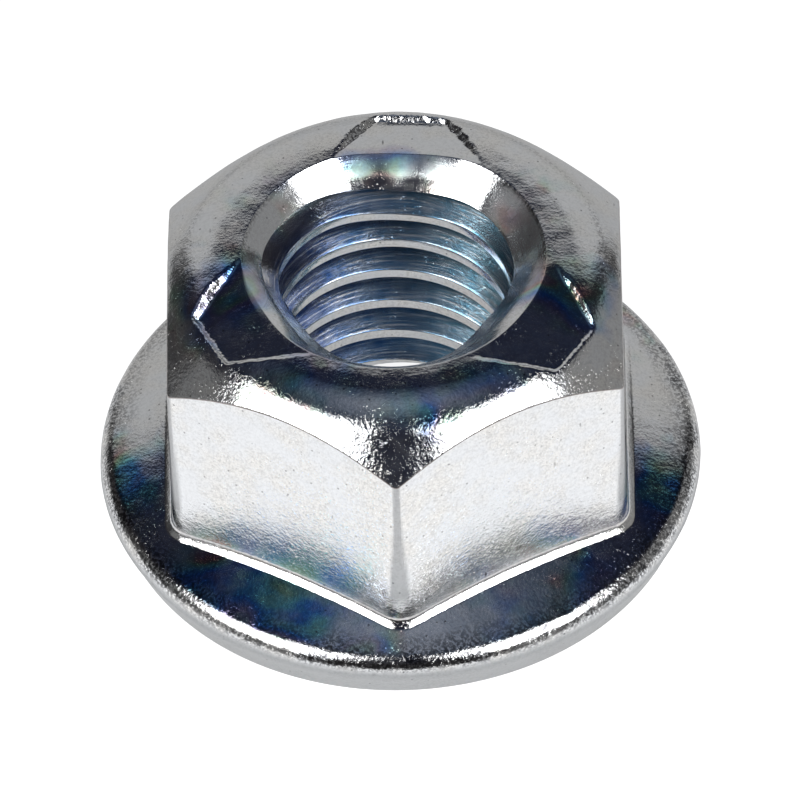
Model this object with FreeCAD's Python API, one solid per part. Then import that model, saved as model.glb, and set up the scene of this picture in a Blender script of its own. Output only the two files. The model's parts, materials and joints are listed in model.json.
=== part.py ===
import FreeCAD, Part
import math
import os

V = FreeCAD.Vector

# Driving sizes: millimetres, and degrees where the name says so
# Z up, origin on the bearing face at the middle of the hole

# Thread, and how far the minor diameter lies inside the nominal one, in pitches
thread_diameter = 8.0
thread_pitch = 1.25
thread_depth_share = 1.0825

# Hexagon
across_flats = 13.0
face_draft_degrees = 0.7
hexagon_edge_radius = 0.5

# Heights
nut_height = 9.2
hexagon_foot_height = 1.35

# Dome over the hexagon: a nearly flat crown that rolls over into a steep cone
cone_top_radius = 5.68
cone_degrees = 44.0
dome_roll_radius = 2.3

# Flange
flange_radius = 8.63
flange_flare = 0.43
bearing_edge_radius = 0.2
flange_rim_height = 1.03
flange_roll_radius = 0.7
flange_slope_degrees = 19.0
foot_fillet_radius = 0.5

# Countersinks
top_countersink_radius = 4.31
bottom_countersink_radius = 4.65
countersink_degrees = 45.0

# Three crimps, struck at once by the corners of a three-sided punch
crimp_count = 3
crimp_side_distance = 3.75
crimp_outer_distance = 5.85
crimp_turn_degrees = -3.3
crimp_offset_x = 0.15
crimp_offset_y = -0.055
crimp_rim_depth = 0.1
crimp_slope_degrees = 14.5
crimp_wall_draft_degrees = 40.0

# Under each crimp the wall of the hole is squeezed inward
squeeze = 0.3
squeeze_depth = 1.7

# Values that follow from the sizes above
minor_radius = (thread_diameter - thread_depth_share * thread_pitch) / 2
bearing_radius = flange_radius - flange_flare
rim_drop = math.tan(math.radians(countersink_degrees))
cone_drop = math.tan(math.radians(cone_degrees))
slope_rise = math.tan(math.radians(flange_slope_degrees))
crimp_drop = math.tan(math.radians(crimp_slope_degrees))
top_wall_end = nut_height - (top_countersink_radius - minor_radius) * rim_drop
corner_reach = (across_flats / 2 - hexagon_edge_radius) / math.cos(math.pi / 6) + hexagon_edge_radius
slope_end_radius = flange_radius - flange_roll_radius * (1 - math.sin(math.radians(flange_slope_degrees)))
clear = 1.0

# The hexagon and its foot fillet stay on the flange's slope: a narrow flange has turned corners above it
turned_reach = min(corner_reach + clear, slope_end_radius - foot_fillet_radius)


def line(a, b):
    return Part.LineSegment(V(*a), V(*b)).toShape()


def arc(a, middle, b):
    return Part.Arc(V(*a), V(*middle), V(*b)).toShape()


def turned(edges):
    """A solid of revolution about the bore's axis."""
    face = Part.Face(Part.Wire(edges))
    return face.revolve(V(0, 0, 0), V(0, 0, 1), 360)


def rounded_hexagon(half_width, z):
    """Closed wire of six flats and six small corner arcs, one corner towards -Y."""
    edges = []
    flat_half = (half_width - hexagon_edge_radius) * math.tan(math.pi / 6)
    corner_distance = (half_width - hexagon_edge_radius) / math.cos(math.pi / 6)
    for side in range(6):
        turn = math.radians(60 * side)
        normal = V(math.cos(turn), math.sin(turn), 0)
        along = V(-math.sin(turn), math.cos(turn), 0)
        lift = V(0, 0, z)
        start = normal * half_width - along * flat_half + lift
        end = normal * half_width + along * flat_half + lift
        edges.append(Part.LineSegment(start, end).toShape())
        corner_turn = turn + math.pi / 6
        corner = V(math.cos(corner_turn), math.sin(corner_turn), 0)
        tip = corner * (corner_distance + hexagon_edge_radius) + lift
        next_turn = turn + math.pi / 3
        next_normal = V(math.cos(next_turn), math.sin(next_turn), 0)
        next_along = V(-math.sin(next_turn), math.cos(next_turn), 0)
        next_start = next_normal * half_width - next_along * flat_half + lift
        edges.append(Part.Arc(end, tip, next_start).toShape())
    return Part.Wire(edges)


def hexagon_body():
    """The wrenching body: a hexagon that narrows slightly upward, as forged."""
    narrowing = (nut_height - hexagon_foot_height) * math.tan(math.radians(face_draft_degrees))
    foot = rounded_hexagon(across_flats / 2, hexagon_foot_height)
    head = rounded_hexagon(across_flats / 2 - narrowing, nut_height)
    return Part.makeLoft([foot, head], True, True)


def dome():
    """Everything under the crown, the rolled shoulder and the cone."""
    half_turn = math.radians(cone_degrees) / 2
    tangent = dome_roll_radius * math.tan(half_turn)
    crown_end = cone_top_radius - tangent
    roll_middle = nut_height - dome_roll_radius
    roll_end_radius = crown_end + dome_roll_radius * math.sin(2 * half_turn)
    roll_end_height = roll_middle + dome_roll_radius * math.cos(2 * half_turn)
    middle_radius = crown_end + dome_roll_radius * math.sin(half_turn)
    middle_height = roll_middle + dome_roll_radius * math.cos(half_turn)
    cone_end_height = roll_end_height - (turned_reach - roll_end_radius) * cone_drop
    return turned([
        line((0, 0, 0), (turned_reach, 0, 0)),
        line((turned_reach, 0, 0), (turned_reach, 0, cone_end_height)),
        line((turned_reach, 0, cone_end_height), (roll_end_radius, 0, roll_end_height)),
        arc((roll_end_radius, 0, roll_end_height), (middle_radius, 0, middle_height), (crown_end, 0, nut_height)),
        line((crown_end, 0, nut_height), (0, 0, nut_height)),
        line((0, 0, nut_height), (0, 0, 0)),
    ])


def flange_top(radius):
    """Height of the flange's sloping top at a distance from the axis."""
    slope_end_height = flange_rim_height + flange_roll_radius * math.cos(math.radians(flange_slope_degrees))
    return slope_end_height + (slope_end_radius - radius) * slope_rise


def flange():
    """The washer face: flared rim, rolled top edge and a shallow cone up to the hexagon."""
    roll_middle = flange_radius - flange_roll_radius
    slope_end_height = flange_top(slope_end_radius)
    half = math.radians(90 - flange_slope_degrees) / 2
    middle_radius = roll_middle + flange_roll_radius * math.cos(half)
    middle_height = flange_rim_height + flange_roll_radius * math.sin(half)
    inner_height = flange_top(top_countersink_radius)
    body = turned([
        line((0, 0, 0), (bearing_radius, 0, 0)),
        line((bearing_radius, 0, 0), (flange_radius, 0, flange_rim_height)),
        arc((flange_radius, 0, flange_rim_height), (middle_radius, 0, middle_height),
            (slope_end_radius, 0, slope_end_height)),
        line((slope_end_radius, 0, slope_end_height), (top_countersink_radius, 0, inner_height)),
        line((top_countersink_radius, 0, inner_height), (0, 0, inner_height)),
        line((0, 0, inner_height), (0, 0, 0)),
    ])
    bottom_edges = [edge for edge in body.Edges if is_bearing_edge(edge)]
    return body.makeFillet(bearing_edge_radius, bottom_edges)


def is_bearing_edge(edge):
    box = edge.BoundBox
    return box.ZMax < 1e-6 and abs(box.XMax - bearing_radius) < 1e-3 and abs(box.YMax - bearing_radius) < 1e-3


def crimp_angle(index):
    return math.radians(90 + crimp_turn_degrees + index * 360 / crimp_count)


def squeezed_flat(index):
    """The metal that one crimp pushes into the hole: a leaning flat on the bore's wall."""
    top = nut_height + clear
    foot = top_wall_end - squeeze_depth
    lean = squeeze / squeeze_depth
    outer = minor_radius + clear
    outline = [(minor_radius, foot), (outer, foot), (outer, top), (minor_radius - lean * (top - foot), top)]
    points = [V(radius, -minor_radius, height) for radius, height in outline]
    face = Part.Face(Part.makePolygon(points + points[:1]))
    block = face.extrude(V(0, 2 * minor_radius, 0))
    block.rotate(V(0, 0, 0), V(0, 0, 1), math.degrees(crimp_angle(index)))
    return block


def bore():
    """Through hole at the thread's minor diameter, with a countersink at each end."""
    hole = Part.makeCylinder(minor_radius, nut_height + 2 * clear, V(0, 0, -clear))
    hole = hole.cut([squeezed_flat(index) for index in range(crimp_count)])
    bottom_cone = (bottom_countersink_radius - minor_radius) * rim_drop
    lower = Part.makeCone(bottom_countersink_radius + clear / rim_drop, minor_radius,
                          bottom_cone + clear, V(0, 0, -clear))
    tip = top_wall_end - minor_radius * rim_drop
    mouth = Part.makeCone(0, top_countersink_radius + clear / rim_drop,
                          nut_height + clear - tip, V(0, 0, tip))
    return hole.fuse([lower, mouth])


def crimp_walls(index, height):
    """The four corners of one crimp at a height above its floor, inner pair last."""
    turn = crimp_angle(index)
    spread = height * math.tan(math.radians(crimp_wall_draft_degrees))
    side = crimp_side_distance + spread
    inner = minor_radius / 2
    outer = crimp_outer_distance + spread
    corners = []
    for distance, hand in ((inner, 1), (outer, 1), (outer, -1), (inner, -1)):
        across = (side - distance / 2) / math.cos(math.pi / 6)
        drop = crimp_rim_depth + (distance - top_countersink_radius) * crimp_drop
        x = distance * math.cos(turn) - hand * across * math.sin(turn) + crimp_offset_x
        y = distance * math.sin(turn) + hand * across * math.cos(turn) + crimp_offset_y
        corners.append(V(x, y, nut_height - drop + height))
    return corners


def crimp(index):
    """One corner of the punch: a sloping floor between drafted walls."""
    low = crimp_walls(index, 0.0)
    high = crimp_walls(index, clear)
    faces = [Part.Face(Part.makePolygon(ring + ring[:1])) for ring in (low, high)]
    for here in range(len(low)):
        there = (here + 1) % len(low)
        wall = [low[here], low[there], high[there], high[here]]
        faces.append(Part.Face(Part.makePolygon(wall + wall[:1])))
    return Part.makeSolid(Part.makeShell(faces))


def is_foot_edge(edge):
    """Whether an edge is where the hexagon stands on the flange's slope."""
    place = edge.valueAt((edge.FirstParameter + edge.LastParameter) / 2)
    radius = math.hypot(place.x, place.y)
    on_body = across_flats / 2 - hexagon_edge_radius < radius < turned_reach + 1e-3
    return on_body and abs(place.z - flange_top(radius)) < 1e-3


def flange_nut():
    body = hexagon_body().common(dome())
    body = body.fuse(flange()).removeSplitter()
    body = body.makeFillet(foot_fillet_radius, [edge for edge in body.Edges if is_foot_edge(edge)])
    crimps = [crimp(index) for index in range(crimp_count)]
    body = body.cut(crimps)
    body = body.cut(bore())
    return body.removeSplitter()


os.makedirs("parts", exist_ok=True)
nut = flange_nut()
nut.exportStep("parts/flange_nut.step")
print("flange_nut", nut.ShapeType, len(nut.Solids), "solid", round(nut.Volume, 2), "mm3", nut.isValid())
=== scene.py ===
import json
import math

import bpy
import numpy as np
from mathutils import Matrix, Vector, noise


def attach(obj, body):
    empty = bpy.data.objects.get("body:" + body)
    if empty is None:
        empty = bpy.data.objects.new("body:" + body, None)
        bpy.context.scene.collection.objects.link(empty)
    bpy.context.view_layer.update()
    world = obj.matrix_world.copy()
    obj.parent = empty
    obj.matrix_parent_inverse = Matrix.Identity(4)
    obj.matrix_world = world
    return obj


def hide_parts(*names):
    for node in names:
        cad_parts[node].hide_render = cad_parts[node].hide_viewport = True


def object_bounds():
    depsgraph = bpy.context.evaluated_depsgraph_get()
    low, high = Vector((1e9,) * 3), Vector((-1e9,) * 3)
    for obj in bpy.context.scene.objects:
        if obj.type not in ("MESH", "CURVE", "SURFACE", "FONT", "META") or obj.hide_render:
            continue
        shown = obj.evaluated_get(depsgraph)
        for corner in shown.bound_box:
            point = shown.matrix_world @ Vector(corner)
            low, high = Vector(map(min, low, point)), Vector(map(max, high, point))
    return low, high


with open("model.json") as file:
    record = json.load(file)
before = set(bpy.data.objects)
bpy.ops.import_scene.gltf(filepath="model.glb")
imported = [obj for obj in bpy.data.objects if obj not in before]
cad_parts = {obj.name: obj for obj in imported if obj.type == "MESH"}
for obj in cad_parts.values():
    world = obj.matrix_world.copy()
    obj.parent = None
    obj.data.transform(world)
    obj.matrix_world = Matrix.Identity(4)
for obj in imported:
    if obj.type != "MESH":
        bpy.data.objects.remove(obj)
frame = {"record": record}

bl_info = {
    "name": "Crimped Flange Nut",
    "version": (1, 0, 0),
    "blender": (4, 5, 0),
    "location": "View3D > Sidebar > Nut",
    "description": "Models a zinc plated flange lock nut with its thread, finish and studio",
    "category": "Add Mesh",
}

MM = 0.001
NODE = "flange_nut"
CAD_LOW, CAD_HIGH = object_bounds()
MINOR_RADIUS = frame["record"]["mounts"][0]["dims"]["r_mm"] * MM

# Dents, and lumps where the depth is negative: direction in degrees from -Y towards +X, height,
# distance from the axis, size and depth in mm
NICKS = (
    (52, 8.15, 6.25, 0.30, 0.09),
    (55, 8.05, 6.45, 0.18, -0.09),
    (49, 8.2, 6.1, 0.12, -0.06),
    (-44, 7.9, 6.3, 0.22, 0.03),
    (22, 8.7, 5.4, 0.2, 0.015),
    (-12, 8.6, 5.6, 0.25, 0.012),
    (140, 8.4, 5.9, 0.25, 0.03),
    (-128, 8.5, 5.8, 0.3, 0.025),
    (-21, 4.2, 6.5, 0.2, 0.02),
    (31, 5.6, 6.5, 0.16, 0.02),
    (72, 3.4, 6.6, 0.22, 0.02),
    (-68, 1.9, 8.1, 0.3, 0.02),
    (35, 1.8, 8.2, 0.35, 0.02),
)

# Pits and scratches: size of the cells in mm, their stretch, the part of a cell that is struck, and a shift
PITS = (
    (0.24, (1, 1, 1), 0.16, (0, 0, 0)),
    (0.5, (1, 0.22, 0.3), 0.07, (5, 2, 1)),
    (0.6, (0.3, 1, 0.2), 0.06, (1, 7, 3)),
)

# Where the passivate film lies thick: x, y and z in mm, how far it reaches and how strong it is
FILMS = (
    (-3.9, -6.8, 1.8, 2.2, 1.0),
    (-5.9, -5.6, 1.8, 1.5, 0.8),
    (-1.2, -7.9, 1.8, 1.4, 0.5),
    (-8.0, -1.6, 1.8, 1.4, 1.0),
    (3.4, -7.0, 1.8, 1.5, 0.5),
    (5.2, -6.0, 1.8, 1.4, 0.6),
    (7.8, -2.4, 1.8, 1.7, 0.9),
    (5.5, 6.2, 1.8, 2.4, 0.8),
    (-4.5, 6.9, 1.8, 2.0, 0.6),
    (-2.6, -4.6, 9.0, 1.3, 0.6),
    (2.2, -4.9, 9.0, 1.3, 0.5),
    (-0.9, 3.7, 8.9, 0.7, 0.40),
    (0.2, 3.8, 8.9, 0.7, 0.45),
    (1.2, 3.6, 8.9, 0.7, 0.40),
    (-2.9, 2.7, 8.8, 0.9, 0.30),
    (-3.3, 2.2, 8.7, 1.3, 0.30),
    (3.5, 2.0, 8.7, 1.2, 0.45),
    (4.9, -1.4, 8.9, 1.3, 0.8),
    (-4.9, -1.2, 8.9, 1.4, 0.8),
    (0.8, -5.6, 8.6, 1.0, 0.6),
)

# Zones of the finish and of its painted shade, each an attribute of the mesh that the material reads
ZONES = ("film", "rim", "roll", "cone", "face", "corner", "edge", "flank", "turned")

# The world's colour by the sine of its height above the horizon
SKY = (
    (0.0, (0.07, 0.07, 0.07, 1)),
    (0.4, (0.03, 0.028, 0.03, 1)),
    (0.85, (0.012, 0.016, 0.032, 1)),
    (0.94, (0.055, 0.07, 0.10, 1)),
    (0.985, (0.13, 0.15, 0.19, 1)),
    (1.0, (0.22, 0.24, 0.29, 1)),
)

# Grey cards that the camera doesn't see: place, turn in degrees, width, height and grey
CARDS = (
    ((0.0, 0.60, 0.30), 0, 1.0, 0.60, 0.44),
    ((-0.60, -0.03, 0.23), -85, 0.30, 0.20, 0.17),
    ((0.62, 0.22, 0.20), 80, 0.7, 0.40, 0.24),
    ((0.45, -0.32, 0.10), 55, 0.42, 0.20, 0.34),
    ((-0.45, -0.32, 0.10), -55, 0.42, 0.20, 0.34),
)

# The two lamps: degrees to each side and up, distance from the nut, width, height and power
LAMP_SIDE = 51
LAMP_RISE = 43.5
LAMP_DISTANCE = 0.5
LAMP_WIDTH = 0.35
LAMP_HEIGHT = 0.26
LAMP_POWER = 1.95
LAMP_AIM = (0, 0, 0.005)

# The floor has a painted shadow that darkens it from one line across it to another behind the nut, and it
# glows for the camera and in the metal
FLOOR_SHADOW_START_Y = -0.004
FLOOR_SHADOW_FULL_Y = 0.014
FLOOR_PAINTED_SHADOW = 0.42
FLOOR_SEEN = 0.88
FLOOR_MIRRORED = 0.56

# The camera: its place, the way it looks, the way to its right, and its lens in mm
CAMERA_PLACE = (0.0043906, -0.2058155, 0.2229217)
CAMERA_FORWARD = (-0.014437, 0.683713, -0.729608)
CAMERA_RIGHT = (0.999702, -0.004161, -0.024039)
CAMERA_LENS = 474.355

# Facets of the blank along a flat, round a corner, and from the shoulder to the hole
FLAT_STEPS = 80
CORNER_STEPS = 12
CROWN_STEPS = 52

# Tries that find where a column meets the countersink and the dome
MOUTH_TRIES = 30
SHOULDER_TRIES = 12

# Width over which the crown's flat ring passes into its slope
CROWN_BLEND = 0.01 * MM

# Metal left in the blank's hole for the tap, the tap's root round, and the steps of its tapered ends
TAP_STOCK = 0.15 * MM
ROOT_ROUND = 0.06 * MM
TAP_LEAD = 40

# Sizes of the finish's patterns, and the angle up to which facets are shaded as one surface
FILM_PATCH = 2.6 * MM
FILM_GRAIN = 0.16 * MM
PLATE_PATCH = 1.1 * MM
PEEL = 0.2 * MM
SMOOTH_ANGLE = math.radians(32)


def length(name, millimetres, description):
    return bpy.props.FloatProperty(
        name=name, description=description, default=millimetres * MM, unit="LENGTH", precision=5)


def angle(name, degrees, description):
    return bpy.props.FloatProperty(
        name=name, description=description, default=math.radians(degrees), subtype="ANGLE")


def colour(name, values, description):
    return bpy.props.FloatVectorProperty(
        name=name, description=description, default=(*values, 1), size=4, min=0, max=1, subtype="COLOR")


class NutSizes(bpy.types.PropertyGroup):
    across_flats: length("Across flats", 13.0, "Width of the hexagon at its foot")
    face_draft: angle("Face draft", 0.7, "How far the six faces lean inward")
    hexagon_edge: length("Hexagon edge radius", 0.53, "Round of the six upright edges at half height")
    edge_growth: bpy.props.FloatProperty(
        name="Edge growth", description="How much rounder the upright edges get downward", default=0.10)
    hexagon_foot: length("Hexagon foot", 1.35, "Height at which the hexagon has its full width")
    cone_top: length("Cone top radius", 5.68, "Where the cone would meet the flat crown")
    cone_slope: angle("Cone slope", 44.0, "Slope of the cone under the crown")
    dome_roll: length("Dome roll radius", 2.3, "Round between the crown and the cone")
    crown_ring: length("Crown ring", 4.62, "Where the flat round the hole ends")
    crown_slope: angle("Crown slope", 3.0, "Slope of the crown outside that flat")
    chamfer_edge: length("Chamfer edge radius", 0.09, "Round between the cone and a face")
    bearing_radius: length("Bearing radius", 8.2, "Outer edge of the bearing face")
    bearing_edge: length("Bearing edge radius", 0.2, "Round under the flange's rim")
    rim_height: length("Rim height", 1.03, "Height of the flange's widest line")
    rim_roll: length("Rim roll radius", 0.7, "Round over the flange's rim")
    flange_slope: angle("Flange slope", 19.0, "Slope of the flange's top")
    foot_reach: length("Foot reach", 0.21, "How far the hexagon's foot spreads over the flange")
    foot_rise: length("Foot rise", 0.13, "How far up the hexagon its foot begins")
    foot_round: length("Foot round", 0.22, "Round at both ends of the foot")
    top_countersink: length("Top countersink radius", 4.31, "Mouth of the hole in the crown")
    bottom_countersink: length("Bottom countersink radius", 4.65, "Mouth of the hole underneath")
    mouth_edge: length("Mouth edge radius", 0.07, "Round of the hole's upper edge")


class CrimpSizes(bpy.types.PropertyGroup):
    count: bpy.props.IntProperty(name="Count", description="Number of crimps", default=3, min=1)
    turn: angle("Turn", 86.7, "Direction of the first crimp")
    offset_x: length("Offset X", 0.15, "Punch centre beside the nut's axis")
    offset_y: length("Offset Y", -0.055, "Punch centre before the nut's axis")
    side_distance: length("Side distance", 3.76, "From the punch centre to its three sides")
    outer_distance: length("Outer distance", 5.86, "From the punch centre to its cut corners")
    depth: length("Depth", 0.1, "Depth of the floor at the hole's mouth")
    floor_slope: angle("Floor slope", 14.5, "Outward slope of the floor")
    wall_draft: angle("Wall draft", 38.0, "Lean of the walls")
    tear: length("Tear", 0.04, "How far the walls' edges wander")
    tear_size: length("Tear size", 0.22, "Size of the wandering")
    lip: length("Lip", 0.06, "Width over which the lips are rounded")
    squeeze: length("Squeeze", 0.3, "How far the hole's wall is pushed in")
    squeeze_depth: length("Squeeze depth", 1.7, "How deep the wall is pushed in")
    squeeze_spread: angle("Squeeze spread", 42, "How far round the wall is pushed in, to each side")


class ThreadSizes(bpy.types.PropertyGroup):
    major_radius: length("Major radius", 4.0, "Half of the thread's nominal diameter")
    pitch: length("Pitch", 1.25, "Rise of the thread in one turn")
    phase: length("Phase", 2.55, "Height of a crest at the back of the hole")
    edge: length("Edge radius", 0.04, "Round of the crest's edges")
    turn_steps: bpy.props.IntProperty(name="Steps", description="Facets in one turn", default=180, min=12)


class WearSizes(bpy.types.PropertyGroup):
    wave: length("Wave", 1.3, "Size of the forging's broad waves")
    wave_depth: length("Wave depth", 0.012, "Depth of the broad waves")
    ripple: length("Ripple", 0.5, "Size of the small ripples")
    ripple_depth: length("Ripple depth", 0.012, "Depth of the small ripples")
    grain: length("Grain", 0.09, "Size of the plating's grain")
    grain_depth: length("Grain depth", 0.0050, "Depth of the grain")
    turning: length("Turning", 0.06, "Spacing of the lines that turning and tapping leave in the hole")


class FinishColours(bpy.types.PropertyGroup):
    silver: colour("Silver", (0.83, 0.845, 0.865), "Bare zinc plate")
    warm: colour("Warm tint", (0.87, 0.86, 0.84), "Faint warm film on the faces")
    # Rim: a darker tone as painted shade, for the shadowed floor the rim mirrors and the dark the upright
    # corners mirror; their plate is also rougher
    rim: colour("Rim", (0.42, 0.43, 0.44), "Rougher plate of the rim and of the upright edges")
    blue: colour("Blue film", (0.10, 0.34, 0.85), "Thickest passivate")
    teal: colour("Teal film", (0.26, 0.68, 0.74), "Thick passivate")
    green: colour("Green film", (0.40, 0.64, 0.44), "Middling passivate")
    purple: colour("Purple film", (0.46, 0.40, 0.60), "Thin passivate")
    brown: colour("Brown film", (0.58, 0.30, 0.26), "Thinnest passivate")
    thread: colour("Thread flanks", (0.04, 0.10, 0.30), "Passivate that stays on the thread's flanks")
    # Painted light: the flanks towards +X are lighter than those towards -X, over the blue passivate
    thread_lit_side: colour("Thread flanks, other side", (0.16, 0.36, 0.46), "Passivate towards +X in the hole")
    # Pit: also the painted shade in the grain's hollows and in the rolled edges' crumbs
    pit: colour("Pit", (0.06, 0.06, 0.065), "Bottom of a pit or scratch")
    # Seam: dark line where the cone meets a face, and painted shade on the hexagon's foot above the flange
    seam: colour("Seam", (0.22, 0.18, 0.17), "Dull line where the cone meets a face")
    floor: colour("Floor", (0.45, 0.45, 0.45), "Floor of the studio")


def softer_min(a, b, width):
    """The lower of two heights, rounded where they cross."""
    blend = np.clip(0.5 + (b - a) / (2 * width), 0, 1)
    return b + (a - b) * blend - width * blend * (1 - blend)


def softer_max(a, b, width):
    return -softer_min(-a, -b, width)


def arc_points(centre, radius, start, end, steps):
    """Points of an arc in the (radius, height) plane, both ends included."""
    turns = [start + (end - start) * step / steps for step in range(steps + 1)]
    return [(centre[0] + radius * math.cos(turn), centre[1] + radius * math.sin(turn)) for turn in turns]


class Dome:
    """The turned outline of the top: crown, roll and cone."""

    def __init__(self, sizes, top):
        tangent = sizes.dome_roll * math.tan(sizes.cone_slope / 2)
        self.top = top
        self.roll = sizes.dome_roll
        self.crown_end = sizes.cone_top - tangent
        self.roll_end = self.crown_end + sizes.dome_roll * math.sin(sizes.cone_slope)
        self.drop = math.tan(sizes.cone_slope)
        self.ring = sizes.crown_ring
        self.ease = math.tan(sizes.crown_slope)

    def height(self, radius):
        radius = np.asarray(radius, float)
        inside = np.clip(radius - self.crown_end, 0, self.roll_end - self.crown_end)
        rolled = self.top - self.roll + np.sqrt(self.roll ** 2 - inside ** 2)
        rolled = rolled - np.clip(radius - self.roll_end, 0, None) * self.drop
        eased = self.top - np.clip(radius - self.ring, 0, None) * self.ease
        return softer_min(rolled, eased, CROWN_BLEND)


def crimped(height, x, y, crimps, top, mouth):
    """The dome's height at a place, after the punch has struck it."""
    torn = crimps.tear * noise.noise(Vector((x, y, 0)) / crimps.tear_size)
    rise = 1 / math.tan(crimps.wall_draft)
    fall = math.tan(crimps.floor_slope)
    for index in range(crimps.count):
        turn = crimps.turn + index * math.tau / crimps.count
        along = (x - crimps.offset_x) * math.cos(turn) + (y - crimps.offset_y) * math.sin(turn)
        across = (y - crimps.offset_y) * math.cos(turn) - (x - crimps.offset_x) * math.sin(turn)
        floor = top - crimps.depth - (along - mouth) * fall
        side = (along / 2 + np.abs(across) * math.cos(math.pi / 6) - crimps.side_distance + torn) * rise
        end = (along - crimps.outer_distance + torn) * rise
        wall = softer_max(np.maximum(side, end), 0.0, crimps.lip / 2)
        struck = softer_min(height, floor + wall, crimps.lip)
        height = np.where(along > 0, struck, height)
    return height


def hexagon_columns(flat_steps, corner_steps):
    """Each column of the nut's grid: the side's direction, the place on the flat and the corner's turn."""
    columns = []
    for side in range(6):
        turn = side * math.pi / 3
        for step in range(flat_steps):
            columns.append((turn, -1 + 2 * step / flat_steps, 0.0))
        for step in range(corner_steps):
            columns.append((turn, 1.0, math.pi / 3 * step / corner_steps))
    return columns + [(math.tau, -1.0, 0.0)]


def hexagon_reach(direction, half_width, edge):
    """Distance from the axis to the hexagon's rounded outline in a direction."""
    off_flat = abs((direction + math.pi / 6) % (math.pi / 3) - math.pi / 6)
    if half_width * math.tan(off_flat) <= (half_width - edge) * math.tan(math.pi / 6):
        return half_width / math.cos(off_flat)
    centre = (half_width - edge) / math.cos(math.pi / 6)
    off_corner = math.pi / 6 - off_flat
    return centre * math.cos(off_corner) + math.sqrt(edge ** 2 - (centre * math.sin(off_corner)) ** 2)


def hexagon_point(column, half_width, edge):
    """Where a column meets the hexagon's outline."""
    turn, place, bend = column
    along = place * (half_width - edge) * math.tan(math.pi / 6)
    out = half_width - edge + edge * math.cos(bend)
    side = along + edge * math.sin(bend)
    return (out * math.cos(turn) - side * math.sin(turn), out * math.sin(turn) + side * math.cos(turn))


def fillet_between(corner, back, forward, radius, steps):
    """An arc that rounds the corner between two straight runs of a profile."""
    to_back = (Vector(back) - Vector(corner)).normalized()
    to_forward = (Vector(forward) - Vector(corner)).normalized()
    half = math.acos(max(-1, min(1, to_back.dot(to_forward)))) / 2
    middle = (to_back + to_forward).normalized()
    centre = Vector(corner) + middle * (radius / math.sin(half))
    start = Vector(corner) + to_back * (radius / math.tan(half))
    spread = math.pi - 2 * half
    side = 1 if to_back.cross(to_forward) < 0 else -1
    reach = start - centre
    points = []
    for step in range(steps + 1):
        bend = side * spread * step / steps
        points.append((centre.x + reach.x * math.cos(bend) - reach.y * math.sin(bend),
                       centre.y + reach.x * math.sin(bend) + reach.y * math.cos(bend)))
    return points


def between(a, b, steps):
    """Evenly spaced points from a to b, with both ends left out."""
    return [(a[0] + (b[0] - a[0]) * step / steps, a[1] + (b[1] - a[1]) * step / steps)
            for step in range(1, steps)]


def flange_profile(sizes, inner, outer_radius):
    """From the hole's lower mouth round the rim to the top of the roll, as (radius, height)."""
    bore = (inner, sizes.bottom_countersink - inner)
    mouth = (sizes.bottom_countersink, 0.0)
    heel = (sizes.bearing_radius, 0.0)
    widest = (outer_radius, sizes.rim_height)
    roll_centre = (outer_radius - sizes.rim_roll, sizes.rim_height)
    heel_round = fillet_between(heel, mouth, widest, sizes.bearing_edge, 6)
    roll = arc_points(roll_centre, sizes.rim_roll, 0, math.pi / 2 - sizes.flange_slope, 14)
    return ([bore] + between(bore, mouth, 3) + [mouth] + between(mouth, heel_round[0], 4) + heel_round
            + between(heel_round[-1], widest, 4) + roll)


def mouth_radius(surface, sizes, top):
    """Where a column's surface meets the countersink, by halving."""
    low, high = MINOR_RADIUS, sizes.top_countersink + 0.1 * MM
    for _ in range(MOUTH_TRIES):
        middle = (low + high) / 2
        if top - (sizes.top_countersink - middle) < surface(middle):
            low = middle
        else:
            high = middle
    return (low + high) / 2


def side_profile(turn, sizes, dome, top, roll_end):
    """From the flange's roll up the hexagon's side to its shoulder, as (radius, height)."""
    draft = math.tan(sizes.face_draft)

    def wall(z):
        half_width = sizes.across_flats / 2 - (z - sizes.hexagon_foot) * draft
        return hexagon_reach(turn, half_width, sizes.hexagon_edge + (top / 2 - z) * sizes.edge_growth)

    foot_radius = wall(sizes.hexagon_foot + 0.5 * MM)
    foot = (foot_radius, roll_end[1] + (roll_end[0] - foot_radius) * math.tan(sizes.flange_slope))
    shoulder_radius = foot_radius
    for _ in range(SHOULDER_TRIES):
        shoulder_radius = wall(float(dome.height(shoulder_radius)))
    shoulder = (shoulder_radius, float(dome.height(shoulder_radius)))
    upward = (Vector(shoulder) - Vector(foot)).normalized()
    outward = (Vector(roll_end) - Vector(foot)).normalized()
    foot_low = Vector(foot) + outward * sizes.foot_reach
    foot_high = Vector(foot) + upward * sizes.foot_rise
    foot_round = fillet_between(foot_low, roll_end, foot_high, sizes.foot_round, 3)
    foot_round += fillet_between(foot_high, foot_low, shoulder, sizes.foot_round, 4)
    inward = (shoulder_radius - 0.5 * MM, float(dome.height(shoulder_radius - 0.5 * MM)))
    edge_round = fillet_between(shoulder, foot, inward, sizes.chamfer_edge, 4)
    return (between(roll_end, foot_round[0], 4) + foot_round
            + between(foot_round[-1], edge_round[0], 6) + edge_round)


def top_profile(start, surface, sizes, top, inner):
    """From the shoulder over the crimped dome and down the countersink, as (radius, height)."""
    mouth = mouth_radius(surface, sizes, top)
    edge = sizes.mouth_edge
    radii = [start + (mouth + edge - start) * step / CROWN_STEPS for step in range(1, CROWN_STEPS + 1)]
    profile = [(radius, surface(radius)) for radius in radii]
    lip = (mouth, surface(mouth))
    cone_foot = (inner, top - (sizes.top_countersink - inner))
    profile += fillet_between(lip, profile[-1], cone_foot, edge * 0.6, 4)
    return profile + between(profile[-1], cone_foot, 10) + [cone_foot]


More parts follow.
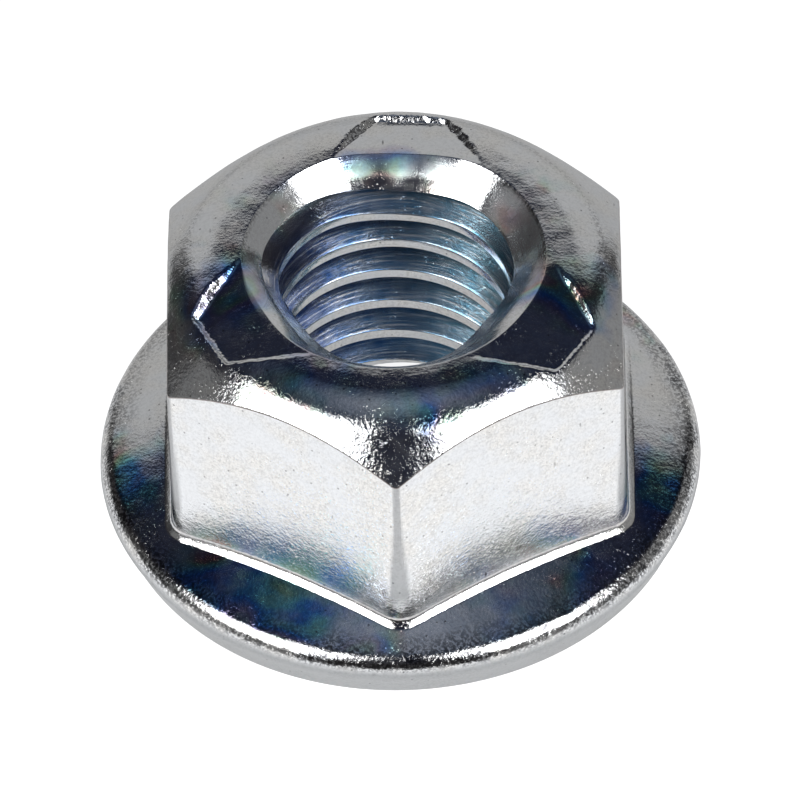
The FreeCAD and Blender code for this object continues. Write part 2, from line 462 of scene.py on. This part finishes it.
def nut_column(column, sizes, crimps, dome, top, outer_radius, inner):
    """One upright section of the nut, as a closed run of (x, y, z) points."""
    foot_x, foot_y = hexagon_point(column, sizes.across_flats / 2, sizes.hexagon_edge)
    turn = math.atan2(foot_y, foot_x)
    cosine, sine = math.cos(turn), math.sin(turn)

    def surface(radius):
        plain = dome.height(radius)
        return float(crimped(plain, radius * cosine, radius * sine, crimps, top, sizes.top_countersink))

    lower = flange_profile(sizes, inner, outer_radius)
    side = side_profile(turn, sizes, dome, top, lower[-1])
    crown = top_profile(side[-1][0], surface, sizes, top, inner)
    closing = between(crown[-1], lower[0], 3) + [lower[0]]
    return [(radius * cosine, radius * sine, z) for radius, z in lower + side + crown + closing]


def edit(obj):
    bpy.ops.object.select_all(action="DESELECT")
    bpy.context.view_layer.objects.active = obj
    obj.select_set(True)
    bpy.ops.object.mode_set(mode="EDIT")
    bpy.ops.mesh.select_all(action="SELECT")


def leave_edit():
    bpy.ops.object.mode_set(mode="OBJECT")


def rolled_grid(name, sections):
    """A grid whose columns are bent to the sections given, as a mesh object at the origin."""
    columns, rows = len(sections), len(sections[0])
    bpy.ops.object.select_all(action="DESELECT")
    bpy.ops.mesh.primitive_grid_add(x_subdivisions=columns - 1, y_subdivisions=rows - 1, size=2)
    obj = bpy.context.object
    obj.name = name
    obj.data.name = name
    flat = np.empty(len(obj.data.vertices) * 3)
    obj.data.vertices.foreach_get("co", flat)
    flat = flat.reshape(-1, 3)
    column = np.rint((flat[:, 0] + 1) / 2 * (columns - 1)).astype(int)
    row = np.rint((flat[:, 1] + 1) / 2 * (rows - 1)).astype(int)
    bent = np.array(sections)[column, row]
    obj.data.vertices.foreach_set("co", bent.ravel())
    edit(obj)
    bpy.ops.mesh.remove_doubles(threshold=1e-6)
    bpy.ops.mesh.normals_make_consistent(inside=False)
    leave_edit()
    return obj


def forge_blank(sizes, crimps, top, outer_radius):
    """The forged and crimped blank, with a plain hole that the tap takes away."""
    dome = Dome(sizes, top)
    inner = MINOR_RADIUS - TAP_STOCK
    sections = [nut_column(column, sizes, crimps, dome, top, outer_radius, inner)
                for column in hexagon_columns(FLAT_STEPS, CORNER_STEPS)]
    return rolled_grid(NODE + ".forged", sections)


def ramp_between(values, low, high):
    """0 up to low, 1 from high on, smooth between them."""
    share = np.clip((values - low) / (high - low), 0, 1)
    return share * share * (3 - 2 * share)


def band_between(values, low, full, fade, high):
    """1 from full to fade, and 0 below low and above high."""
    return ramp_between(values, low, full) * (1 - ramp_between(values, fade, high))


def read_vertices(obj, name="co"):
    flat = np.empty(len(obj.data.vertices) * 3)
    obj.data.vertices.foreach_get(name, flat)
    return flat.reshape(-1, 3)


def write_vertices(obj, co):
    obj.data.vertices.foreach_set("co", co.ravel())
    obj.data.update()


def weather(obj, wear):
    """Gives the forged skin its slight waves, its dents and its few lumps."""
    co = read_vertices(obj)
    normals = read_vertices(obj, "normal")
    radius = np.hypot(co[:, 0], co[:, 1])
    depth = np.zeros(len(co))
    for size, deepest in ((wear.wave, wear.wave_depth), (wear.ripple, wear.ripple_depth)):
        waves = np.array([noise.noise(Vector(place) / size) for place in co])
        depth += deepest * (0.5 + 0.5 * waves)
    skin = ramp_between(radius, MINOR_RADIUS, MINOR_RADIUS + 0.4 * MM)
    skin *= ramp_between(co[:, 2], 0.1 * MM, 0.5 * MM)
    depth *= skin
    for bearing, height, out, size, deepest in NICKS:
        turn = math.radians(bearing)
        middle = np.array((out * math.sin(turn), -out * math.cos(turn), height)) * MM
        away = np.linalg.norm(co - middle, axis=1) / (size * MM)
        depth += deepest * MM * np.exp(-away ** 2 * 2) * skin
    write_vertices(obj, co - normals * depth[:, None])


def close_end(tap, end):
    """Closes one end of the tap, -1 the lower and 1 the upper, with triangles about its middle."""
    bpy.ops.mesh.select_all(action="DESELECT")
    bpy.ops.mesh.select_non_manifold(extend=False)
    leave_edit()
    vertices = tap.data.vertices
    middle = sum((vertex.co.z for vertex in vertices), 0.0) / len(vertices)
    for edge in tap.data.edges:
        heights = [vertices[index].co.z for index in edge.vertices]
        if edge.select and (sum(heights) / 2 - middle) * end < 0:
            edge.select = False
    for vertex in vertices:
        if (vertex.co.z - middle) * end < 0:
            vertex.select = False
    bpy.ops.object.mode_set(mode="EDIT")
    bpy.ops.mesh.extrude_edges_move()
    bpy.ops.mesh.merge(type="CENTER")


def make_tap(thread, top):
    """The tap: a helical solid in the shape of the threaded hole."""
    crest_half = thread.pitch / 8
    flank = (thread.major_radius - MINOR_RADIUS) * math.tan(math.pi / 6)
    crest = (MINOR_RADIUS, crest_half)
    root = (thread.major_radius, crest_half + flank)
    crest_round = fillet_between(crest, (MINOR_RADIUS, 0), root, thread.edge, 3)
    root_round = fillet_between(root, crest, (thread.major_radius, thread.pitch / 2), ROOT_ROUND, 2)
    flank_start, flank_end = crest_round[-1], root_round[0]
    support = [tuple(a + (b - a) * share for a, b in zip(flank_start, flank_end)) for share in (0.08, 0.92)]
    half = [(MINOR_RADIUS, 0.0)] + crest_round + support + root_round
    profile = half + [(radius, thread.pitch - z) for radius, z in reversed(half)]
    below = math.ceil((thread.phase + 1.5 * thread.pitch) / thread.pitch)
    turns = math.ceil((top + 3 * thread.pitch) / thread.pitch) + 1
    steps = turns * thread.turn_steps
    sections = []
    for step in range(steps + 1):
        turn = math.tau * step / thread.turn_steps
        lift = thread.phase + (turn / math.tau - 0.25 - below) * thread.pitch
        fade = min(1.0, step / TAP_LEAD, (steps - step) / TAP_LEAD)
        faded = [(MINOR_RADIUS + (radius - MINOR_RADIUS) * fade, z + lift) for radius, z in profile]
        sections.append([(radius * math.cos(turn), radius * math.sin(turn), z) for radius, z in faded])
    tap = rolled_grid("tap", sections)
    edit(tap)
    bpy.ops.mesh.select_mode(type="EDGE")
    for end in (-1, 1):
        close_end(tap, end)
    bpy.ops.mesh.select_all(action="SELECT")
    bpy.ops.mesh.normals_make_consistent(inside=False)
    leave_edit()
    return tap


def cut_with(obj, tool):
    """Cuts the tool's shape from the piece and removes the tool."""
    bpy.ops.object.select_all(action="DESELECT")
    bpy.context.view_layer.objects.active = obj
    obj.select_set(True)
    cut = obj.modifiers.new("cut", "BOOLEAN")
    cut.operation = "DIFFERENCE"
    cut.solver = "EXACT"
    cut.object = tool
    bpy.ops.object.modifier_apply(modifier=cut.name)
    bpy.data.objects.remove(tool)


def wall_end(sizes, top):
    """Height at which the threaded wall gives way to the upper countersink."""
    return top - (sizes.top_countersink - MINOR_RADIUS)


def squeeze_hole(obj, crimps, sizes, top):
    """Pushes the threaded wall inward under each crimp, and the countersink with it."""
    co = read_vertices(obj)
    radius = np.hypot(co[:, 0], co[:, 1])
    turn = np.arctan2(co[:, 1], co[:, 0])
    squeeze_start = wall_end(sizes, top) - crimps.squeeze_depth
    deep = np.clip((co[:, 2] - squeeze_start) / crimps.squeeze_depth, 0, 1)
    inward = (sizes.top_countersink - radius) / (sizes.top_countersink - MINOR_RADIUS)
    push = np.zeros(len(co))
    for index in range(crimps.count):
        away = np.abs((turn - crimps.turn - index * math.tau / crimps.count + math.pi) % math.tau - math.pi)
        push += crimps.squeeze * deep * ramp_between(-away, -crimps.squeeze_spread, 0)
    push *= np.clip(inward * 3, 0, 1)
    scale = np.where(radius < sizes.top_countersink, (radius - push) / np.maximum(radius, 1e-9), 1)
    co[:, 0] *= scale
    co[:, 1] *= scale
    write_vertices(obj, co)


def finish_piece(obj, material):
    obj.data.materials.clear()
    obj.data.materials.append(material)
    bpy.ops.object.select_all(action="DESELECT")
    bpy.context.view_layer.objects.active = obj
    obj.select_set(True)
    bpy.ops.object.shade_smooth_by_angle(angle=SMOOTH_ANGLE)
    even = obj.modifiers.new("even", "WEIGHTED_NORMAL")
    even.keep_sharp = True
    bpy.ops.object.modifier_apply(modifier=even.name)
    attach(obj, "root")
    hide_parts(NODE)


def add(tree, kind, inputs=None, **settings):
    """A new node with its settings and with values or links on its inputs."""
    node = tree.nodes.new(kind)
    for name, value in settings.items():
        setattr(node, name, value)
    for socket, value in (inputs or {}).items():
        if isinstance(value, bpy.types.NodeSocket):
            tree.links.new(value, node.inputs[socket])
        else:
            node.inputs[socket].default_value = value
    return node


def group(name, ins, outs):
    """An empty node group with its sockets, and its input and output nodes."""
    tree = bpy.data.node_groups.new(name, "ShaderNodeTree")
    for socket, kind, value in ins:
        made = tree.interface.new_socket(socket, in_out="INPUT", socket_type="NodeSocket" + kind)
        if value is not None:
            made.default_value = value
    for socket, kind in outs:
        tree.interface.new_socket(socket, in_out="OUTPUT", socket_type="NodeSocket" + kind)
    return tree, tree.nodes.new("NodeGroupInput"), tree.nodes.new("NodeGroupOutput")


def cloud(tree, size, detail=3.0, rough=0.5, shift=(0, 0, 0), stretch=(1, 1, 1), warp=0.0):
    """Noise in object space whose blots are about the given size."""
    place = add(tree, "ShaderNodeTexCoord").outputs["Object"]
    scaled = add(tree, "ShaderNodeMapping", {"Vector": place, "Location": shift,
                                             "Scale": tuple(part / size for part in stretch)})
    return add(tree, "ShaderNodeTexNoise", {"Vector": scaled.outputs[0], "Scale": 1.0, "Detail": detail,
                                            "Roughness": rough, "Distortion": warp}).outputs["Fac"]


def between_values(tree, value, low, high, to_low=0.0, to_high=1.0):
    return add(tree, "ShaderNodeMapRange", {"Value": value, "From Min": low, "From Max": high,
                                            "To Min": to_low, "To Max": to_high}).outputs[0]


def math_node(tree, operation, a, b):
    return add(tree, "ShaderNodeMath", {0: a, 1: b}, operation=operation).outputs[0]


def times(tree, a, b):
    return math_node(tree, "MULTIPLY", a, b)


def mix_colour(tree, share, a, b):
    mix = tree.nodes.new("ShaderNodeMix")
    mix.data_type = "RGBA"
    for index, value in ((0, share), (6, a), (7, b)):
        if isinstance(value, bpy.types.NodeSocket):
            tree.links.new(value, mix.inputs[index])
        else:
            mix.inputs[index].default_value = value
    return mix.outputs[2]


def ramp_colours(tree, value, stops):
    ramp = add(tree, "ShaderNodeValToRGB", {"Fac": value})
    elements = ramp.color_ramp.elements
    elements[0].position, elements[0].color = stops[0]
    elements[1].position, elements[1].color = stops[-1]
    for position, shade in stops[1:-1]:
        elements.new(position).color = shade
    return ramp.outputs["Color"]


def film_group(colours):
    """Passivate film: soft patches of blue, teal, green, purple and brown."""
    tree, _, out = group("passivate_film", [], [("Color", "Color")])
    broad = cloud(tree, FILM_PATCH, detail=2.0, rough=0.5, shift=(1.1, 4.7, 0.4), warp=0.3)
    fine = between_values(tree, cloud(tree, FILM_GRAIN, detail=1.0), 0.0, 1.0, -0.02, 0.02)
    stops = [(0.30, colours.purple), (0.38, colours.brown), (0.43, colours.green), (0.48, colours.teal),
             (0.54, colours.blue), (0.61, colours.purple), (0.68, colours.green), (0.75, colours.teal)]
    hues = ramp_colours(tree, math_node(tree, "ADD", broad, fine), stops)
    tree.links.new(hues, out.inputs["Color"])
    return tree


def pit_group():
    """Pits and short scratches, as a mask."""
    tree, into, out = group("pits", [("Amount", "Float", 0.5)], [("Mask", "Float")])
    place = add(tree, "ShaderNodeTexCoord").outputs["Object"]
    total = None
    for size, stretch, share, shift in PITS:
        tilt = (0.4 * shift[0], 0.3 * shift[1], 0.5 * shift[2])
        scale = tuple(part / (size * MM) for part in stretch)
        scaled = add(tree, "ShaderNodeMapping", {"Vector": place, "Location": shift, "Rotation": tilt,
                                                 "Scale": scale}).outputs[0]
        cell = add(tree, "ShaderNodeTexVoronoi", {"Vector": scaled, "Scale": 1.0})
        spot = between_values(tree, cell.outputs["Distance"], share, share * 0.4)
        chance = add(tree, "ShaderNodeSeparateColor", {0: cell.outputs["Color"]}).outputs[0]
        spot = times(tree, spot, math_node(tree, "LESS_THAN", chance, into.outputs["Amount"]))
        total = spot if total is None else math_node(tree, "MAXIMUM", total, spot)
    tree.links.new(total, out.inputs["Mask"])
    return tree


def turned_lines(tree, spacing):
    """Rings about the nut's axis, as turning and tapping leave them in the hole."""
    place = add(tree, "ShaderNodeTexCoord").outputs["Object"]
    height = add(tree, "ShaderNodeSeparateXYZ", {0: place}).outputs["Z"]
    level = add(tree, "ShaderNodeVectorMath", {0: place, 1: (1, 1, 0)}, operation="MULTIPLY").outputs[0]
    radius = add(tree, "ShaderNodeVectorMath", {0: level}, operation="LENGTH").outputs["Value"]
    section = add(tree, "ShaderNodeCombineXYZ", {0: radius, 1: height}).outputs[0]
    rings = add(tree, "ShaderNodeTexNoise", {"Vector": section, "Scale": 1 / spacing, "Detail": 2.0})
    return rings.outputs[0]


def film_cover(tree, film, patchy):
    """How fully the film covers the plate, broken up by the plate's own patches."""
    broken = math_node(tree, "ADD", film, between_values(tree, patchy, 0.3, 0.7, -0.3, 0.3))
    return times(tree, between_values(tree, broken, 0.10, 0.80), between_values(tree, film, 0.0, 0.15))


def thread_tone(tree, tone, colours, flank, coarse, lines):
    """The plate with the darker passivate of the thread's flanks over it, lighter towards +X as painted
    light, scored by the tap.
    """
    place = add(tree, "ShaderNodeTexCoord").outputs["Object"]
    sideways = add(tree, "ShaderNodeSeparateXYZ", {0: place}).outputs["X"]
    # Painted light: navy flanks towards -X turn to a lighter teal towards +X
    blue = mix_colour(tree, between_values(tree, sideways, -2.5 * MM, 3.0 * MM),
                      colours.thread, colours.thread_lit_side)
    share = times(tree, flank, between_values(tree, coarse, 0.3, 0.7, 0.75, 1.0))
    share = times(tree, share, between_values(tree, lines, 0.80, 0.50))
    return mix_colour(tree, share, tone, blue)


def dark_marks(tree, tone, dark, zones, grain, patchy):
    """The plate with painted shade in the grain's hollows and in the rolled edges' crumbs, and with the
    faces' fine lines and the pits.
    """
    # Painted shade in the grain's hollows
    hollow_shade = times(tree, between_values(tree, grain, 0.56, 0.36),
                    between_values(tree, patchy, 0.3, 0.6, 0.08, 0.20))
    peel = math_node(tree, "SUBTRACT", cloud(tree, PEEL, detail=2.0, rough=0.5, shift=(4, 4, 4)), 0.5)
    peel = between_values(tree, math_node(tree, "ABSOLUTE", peel, 0.0), 0.05, 0.0)
    peel = times(tree, peel, between_values(tree, patchy, 0.35, 0.65, 0.05, 0.18))
    # Painted shade in the hollows of the rolled edges, which breaks up their highlight
    crumb_shade = times(tree, between_values(tree, grain, 0.58, 0.46), zones["roll"])
    crumb_shade = times(tree, crumb_shade, between_values(tree, patchy, 0.65, 0.40, 0.35, 0.92))
    pits = add(tree, "ShaderNodeGroup", {"Amount": 0.3}, node_tree=pit_group()).outputs["Mask"]
    for share in (hollow_shade, times(tree, peel, zones["face"]), crumb_shade, times(tree, pits, 0.75)):
        tone = mix_colour(tree, share, tone, dark)
    return tone


def plate_roughness(tree, zones, coarse):
    """Bright all over, and duller in the zones that rolling, turning and the film leave rough."""
    rough = between_values(tree, coarse, 0.35, 0.7, 0.07, 0.16)
    for zone, least in (("rim", 0.40), ("corner", 0.32), ("edge", 0.35), ("flank", 0.22), ("turned", 0.11)):
        rough = math_node(tree, "MAXIMUM", rough, times(tree, zones[zone], least))
    stained = times(tree, zones["film"], zones["turned"])
    return math_node(tree, "MAXIMUM", rough, times(tree, stained, 0.85))


def plate_relief(tree, zones, grain, coarse, patchy, lines):
    """Grain, single specks and the turned lines, as a height."""
    relief = math_node(tree, "ADD", grain, times(tree, coarse, 1.2))
    specks = times(tree, between_values(tree, grain, 0.64, 0.70, 0.0, 0.6),
                   between_values(tree, patchy, 0.46, 0.60))
    specks = times(tree, specks, between_values(tree, zones["film"], 0.0, 0.5, 1.0, 0.25))
    relief = math_node(tree, "ADD", relief, specks)
    for zone, more in (("roll", 0.6), ("cone", 0.35), ("face", 1.0), ("turned", -0.4)):
        relief = times(tree, relief, math_node(tree, "ADD", times(tree, zones[zone], more), 1.0))
    return math_node(tree, "ADD", relief, times(tree, lines, times(tree, zones["turned"], 0.35)))


def zinc_plate(colours, wear):
    """The nut's finish: bright zinc with its passivate film, its grain and its wear, with painted shade on
    its rim, corners, foot and hollows and painted light on the thread's +X side.
    """
    material = bpy.data.materials.new("zinc_plate")
    material.use_nodes = True
    tree = material.node_tree
    shader = tree.nodes["Principled BSDF"]
    shader.inputs["Metallic"].default_value = 1.0
    zones = {name: add(tree, "ShaderNodeAttribute", attribute_name=name).outputs["Fac"] for name in ZONES}
    grain = cloud(tree, wear.grain, detail=3.0, rough=0.7)
    coarse = cloud(tree, wear.grain * 4, detail=2.0, rough=0.55)
    patchy = cloud(tree, PLATE_PATCH, detail=2.0, rough=0.55)
    lines = turned_lines(tree, wear.turning)
    film = add(tree, "ShaderNodeGroup", node_tree=film_group(colours)).outputs["Color"]
    tone = mix_colour(tree, between_values(tree, patchy, 0.40, 0.65), colours.silver, colours.warm)
    tone = mix_colour(tree, film_cover(tree, zones["film"], patchy), tone, film)
    tone = thread_tone(tree, tone, colours, zones["flank"], coarse, lines)
    # Painted shade: the rim and the upright corners take the darker rim tone
    tone = mix_colour(tree, zones["rim"], tone, colours.rim)
    tone = mix_colour(tree, times(tree, zones["corner"], 0.85), tone, colours.rim)
    # Dark line where the cone meets a face, and painted shade on the hexagon's foot
    tone = mix_colour(tree, zones["edge"], tone, colours.seam)
    tone = dark_marks(tree, tone, colours.pit, zones, grain, patchy)
    relief = plate_relief(tree, zones, grain, coarse, patchy, lines)
    skin = add(tree, "ShaderNodeBump", {"Height": relief, "Distance": wear.grain_depth, "Strength": 1.0})
    tree.links.new(tone, shader.inputs["Base Color"])
    tree.links.new(plate_roughness(tree, zones, coarse), shader.inputs["Roughness"])
    tree.links.new(skin.outputs[0], shader.inputs["Normal"])
    return material


def mark_zones(obj, sizes, top):
    """Writes how far each vertex belongs to each zone of the finish, as attributes."""
    co = read_vertices(obj)
    normals = read_vertices(obj, "normal")
    radius = np.hypot(co[:, 0], co[:, 1])
    height = co[:, 2]
    upward = normals[:, 2]
    low = 1 - ramp_between(height, 2.3 * MM, 2.8 * MM)
    inside = 1 - ramp_between(radius, sizes.top_countersink - 0.1 * MM, sizes.top_countersink + 0.05 * MM)
    outer = 1 - inside
    level = 1 - ramp_between(np.abs(upward), 0.1, 0.3)
    turn = np.degrees(np.arctan2(normals[:, 1], normals[:, 0]))
    off_flat = np.abs((turn + 30) % 60 - 30)
    thread_end = wall_end(sizes, top)
    threaded = inside * (1 - ramp_between(height, thread_end - 0.1 * MM, thread_end))
    film = np.zeros(len(co))
    for x, y, z, reach, strength in FILMS:
        away = np.linalg.norm(co - np.array((x, y, z)) * MM, axis=1) / (reach * MM)
        film = np.maximum(film, strength * np.exp(-away ** 2))
    lies_flat = np.where(low > 0.5, ramp_between(upward, 0.82, 0.93), ramp_between(upward, 0.65, 0.74))
    rim_roll = band_between(upward, 0.2, 0.5, 0.93, 0.96) * low * ramp_between(radius, 7.7 * MM, 7.9 * MM)
    crimp_wall = band_between(upward, 0.40, 0.55, 0.80, 0.90) * outer
    crimp_wall *= ramp_between(height, 8.3 * MM, 8.45 * MM) * (1 - ramp_between(radius, 5.9 * MM, 6.1 * MM))
    seam = band_between(upward, 0.14, 0.25, 0.52, 0.62) * (1 - low)
    seam *= ramp_between(radius, 6.0 * MM, 6.2 * MM)
    # Painted shade: the foot's band above the flange takes part of the seam's dark tone
    foot = band_between(upward, 0.14, 0.22, 0.36, 0.44) * low
    foot *= 1 - ramp_between(radius, 7.6 * MM, 7.8 * MM)
    marks = {
        "film": film * lies_flat,
        # Painted shade on the rim
        "rim": low * (1 - ramp_between(upward, 0.1, 0.5)) * ramp_between(radius, 7.9 * MM, 8.15 * MM),
        "roll": rim_roll + crimp_wall,
        "cone": band_between(upward, 0.5, 0.6, 0.86, 0.94) * (1 - low) * outer,
        "face": level * outer * (1 - ramp_between(off_flat, 2, 8)),
        # Painted shade on the upright corners
        "corner": level * outer * ramp_between(off_flat, 4, 11) * ramp_between(height, 2.5 * MM, 2.9 * MM),
        "edge": np.maximum(seam, 0.4 * foot) * outer,
        "flank": threaded * ramp_between(np.abs(upward), 0.3, 0.6),
        "turned": inside,
    }
    for name in ZONES:
        layer = obj.data.attributes.new(name, "FLOAT", "POINT")
        layer.data.foreach_set("value", marks[name].astype(np.float32))


class AddNut(bpy.types.Operator):
    """Model the forged, crimped and threaded nut"""
    bl_idname = "mesh.crimped_flange_nut_add"
    bl_label = "Flange Nut"

    def execute(self, context):
        scene = context.scene
        sizes, crimps, thread = scene.nut_sizes, scene.crimp_sizes, scene.thread_sizes
        top = CAD_HIGH.z
        outer_radius = (CAD_HIGH.x - CAD_LOW.x) / 2
        nut = forge_blank(sizes, crimps, top, outer_radius)
        weather(nut, scene.wear_sizes)
        cut_with(nut, make_tap(thread, top))
        squeeze_hole(nut, crimps, sizes, top)
        mark_zones(nut, sizes, top)
        nut.name = NODE + ".plated"
        finish_piece(nut, zinc_plate(scene.finish_colours, scene.wear_sizes))
        return {"FINISHED"}


def soft_box(place):
    """A broad lamp that faces the nut."""
    light = bpy.data.lights.new("softbox", "AREA")
    light.shape = "RECTANGLE"
    light.size = LAMP_WIDTH
    light.size_y = LAMP_HEIGHT
    light.energy = LAMP_POWER
    lamp = bpy.data.objects.new("softbox", light)
    bpy.context.scene.collection.objects.link(lamp)
    lamp.location = place
    lamp.rotation_euler = (Vector(LAMP_AIM) - Vector(place)).to_track_quat("-Z", "Y").to_euler()
    lamp.visible_camera = False


def direction(azimuth, elevation):
    """Unit vector from the nut: azimuth 0 is towards the camera's side, -Y, and 90 towards +X."""
    a, e = math.radians(azimuth), math.radians(elevation)
    return Vector((math.sin(a) * math.cos(e), -math.cos(a) * math.cos(e), math.sin(e)))


def add_camera():
    """The camera, with its upright axis square to the way it looks."""
    data = bpy.data.cameras.new("camera")
    data.sensor_width = 36.0
    data.lens = CAMERA_LENS
    data.clip_start = 0.01
    data.clip_end = 10
    camera = bpy.data.objects.new("camera", data)
    bpy.context.scene.collection.objects.link(camera)
    forward = Vector(CAMERA_FORWARD).normalized()
    right = Vector(CAMERA_RIGHT)
    right = (right - forward * right.dot(forward)).normalized()
    up = right.cross(forward)
    rotation = Matrix((right, up, -forward)).transposed()
    camera.matrix_world = Matrix.Translation(CAMERA_PLACE) @ rotation.to_4x4()
    bpy.context.scene.camera = camera


def pale_floor(colours):
    """Matt, faintly lit floor, with a painted shadow that darkens it behind the nut, that shows white to
    the camera where no shadow falls.
    """
    material = bpy.data.materials.new("pale_floor")
    material.use_nodes = True
    tree = material.node_tree
    tree.nodes.clear()
    spot = add(tree, "ShaderNodeTexCoord").outputs["Object"]
    depth = add(tree, "ShaderNodeSeparateXYZ", {0: spot}).outputs["Y"]
    # Painted shadow: the floor's colour and the glow that the metal mirrors darken behind the nut
    painted_shadow_level = between_values(tree, depth, FLOOR_SHADOW_START_Y, FLOOR_SHADOW_FULL_Y, 1.0, FLOOR_PAINTED_SHADOW)
    shade = mix_colour(tree, painted_shadow_level, (0, 0, 0, 1), colours.floor)
    matte = add(tree, "ShaderNodeBsdfDiffuse", {"Color": shade})
    rays = add(tree, "ShaderNodeLightPath").outputs
    mirrored = times(tree, times(tree, rays["Is Glossy Ray"], painted_shadow_level), FLOOR_MIRRORED)
    seen = times(tree, rays["Is Camera Ray"], FLOOR_SEEN)
    lit = math_node(tree, "ADD", mirrored, seen)
    glow = add(tree, "ShaderNodeEmission", {"Color": (1, 1, 1, 1), "Strength": lit})
    both = add(tree, "ShaderNodeAddShader", {0: matte.outputs[0], 1: glow.outputs[0]})
    add(tree, "ShaderNodeOutputMaterial", {"Surface": both.outputs[0]})
    return material


def grey_card(place, turn, width, height, grey):
    """A grey panel about the nut, which the camera doesn't see."""
    material = bpy.data.materials.new("grey_card")
    material.use_nodes = True
    tree = material.node_tree
    tree.nodes.clear()
    glow = add(tree, "ShaderNodeEmission", {"Color": (grey, grey, grey, 1), "Strength": 1.0})
    add(tree, "ShaderNodeOutputMaterial", {"Surface": glow.outputs[0]})
    bpy.ops.object.select_all(action="DESELECT")
    upright = (math.pi / 2, 0, math.radians(turn))
    bpy.ops.mesh.primitive_plane_add(size=1.0, location=place, rotation=upright)
    card = bpy.context.object
    card.name = "grey_card"
    card.scale = (width, height, 1.0)
    card.data.materials.append(material)
    card.visible_camera = False
    return card


def studio_world():
    """Dark, with a blue grey ceiling, and white where the camera looks."""
    world = bpy.data.worlds.new("studio")
    world.use_nodes = True
    tree = world.node_tree
    tree.nodes.clear()
    spot = add(tree, "ShaderNodeTexCoord").outputs["Generated"]
    high = add(tree, "ShaderNodeSeparateXYZ", {0: spot}).outputs["Z"]
    around = add(tree, "ShaderNodeBackground", {"Color": ramp_colours(tree, high, SKY)})
    white = add(tree, "ShaderNodeBackground", {"Color": (1, 1, 1, 1)})
    seen = add(tree, "ShaderNodeLightPath").outputs["Is Camera Ray"]
    mix = add(tree, "ShaderNodeMixShader", {0: seen, 1: around.outputs[0], 2: white.outputs[0]})
    add(tree, "ShaderNodeOutputWorld", {"Surface": mix.outputs[0]})
    return world


class AddStage(bpy.types.Operator):
    """Add the floor, the lamps, the world and the camera"""
    bl_idname = "scene.crimped_flange_nut_stage"
    bl_label = "Studio"

    def execute(self, context):
        bpy.ops.object.select_all(action="DESELECT")
        bpy.ops.mesh.primitive_plane_add(size=3.0, location=(0, 0, 0))
        floor = context.object
        floor.name = "floor"
        floor.data.materials.append(pale_floor(context.scene.finish_colours))
        for card in CARDS:
            grey_card(*card)
        for side in (-1, 1):
            soft_box(direction(side * LAMP_SIDE, LAMP_RISE) * LAMP_DISTANCE)
        context.scene.world = studio_world()
        add_camera()
        context.scene.view_settings.view_transform = "Standard"
        return {"FINISHED"}


class NutPanel(bpy.types.Panel):
    bl_label = "Crimped Flange Nut"
    bl_idname = "VIEW3D_PT_crimped_flange_nut"
    bl_space_type = "VIEW_3D"
    bl_region_type = "UI"
    bl_category = "Nut"

    def draw(self, context):
        for operator in OPERATORS:
            self.layout.operator(operator.bl_idname)


GROUPS = {"nut_sizes": NutSizes, "crimp_sizes": CrimpSizes, "thread_sizes": ThreadSizes,
          "wear_sizes": WearSizes, "finish_colours": FinishColours}
OPERATORS = (AddNut, AddStage)


def register():
    for cls in (*GROUPS.values(), *OPERATORS, NutPanel):
        bpy.utils.register_class(cls)
    for name, cls in GROUPS.items():
        setattr(bpy.types.Scene, name, bpy.props.PointerProperty(type=cls))


def unregister():
    for name in GROUPS:
        delattr(bpy.types.Scene, name)
    for cls in reversed((*GROUPS.values(), *OPERATORS, NutPanel)):
        bpy.utils.unregister_class(cls)


def main():
    register()
    bpy.ops.mesh.crimped_flange_nut_add()
    bpy.ops.scene.crimped_flange_nut_stage()


if __name__ == "__main__":
    main()
